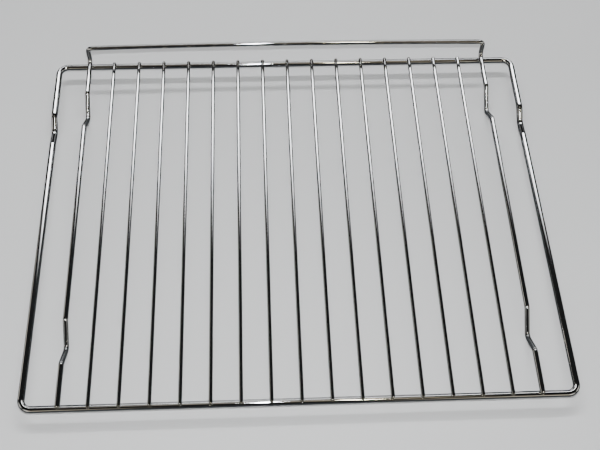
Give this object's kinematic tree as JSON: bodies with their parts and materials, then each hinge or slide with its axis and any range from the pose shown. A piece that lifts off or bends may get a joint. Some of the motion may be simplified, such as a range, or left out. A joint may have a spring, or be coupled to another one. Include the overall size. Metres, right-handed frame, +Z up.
{
  "type": "oven rack",
  "caption": "Plated wire oven rack: closed bent frame with dipped pull-out stops, straight cross wires, and a U-shaped wire with V feet and a raised rear guard bar.",
  "frame": {"origin": "on the floor under the middle of the rack, guard included", "axes": "+X along the rails, +Y from the front rail to the guard, +Z up"},
  "size_m": [0.4478, 0.3664, 0.0355],
  "materials": {
    "plated_wire": "bright plated steel wire, drawn smooth"
  },
  "bodies": {
    "root": {"frame_wire": "plated_wire", "guard_wire": "plated_wire", "grid_wire_01": "plated_wire", "grid_wire_02": "plated_wire", "grid_wire_03": "plated_wire", "grid_wire_04": "plated_wire", "grid_wire_05": "plated_wire", "grid_wire_06": "plated_wire", "grid_wire_07": "plated_wire", "grid_wire_08": "plated_wire", "grid_wire_09": "plated_wire", "grid_wire_10": "plated_wire", "grid_wire_11": "plated_wire", "grid_wire_12": "plated_wire", "grid_wire_13": "plated_wire", "grid_wire_14": "plated_wire", "grid_wire_15": "plated_wire"}
  },
  "joints": []
}
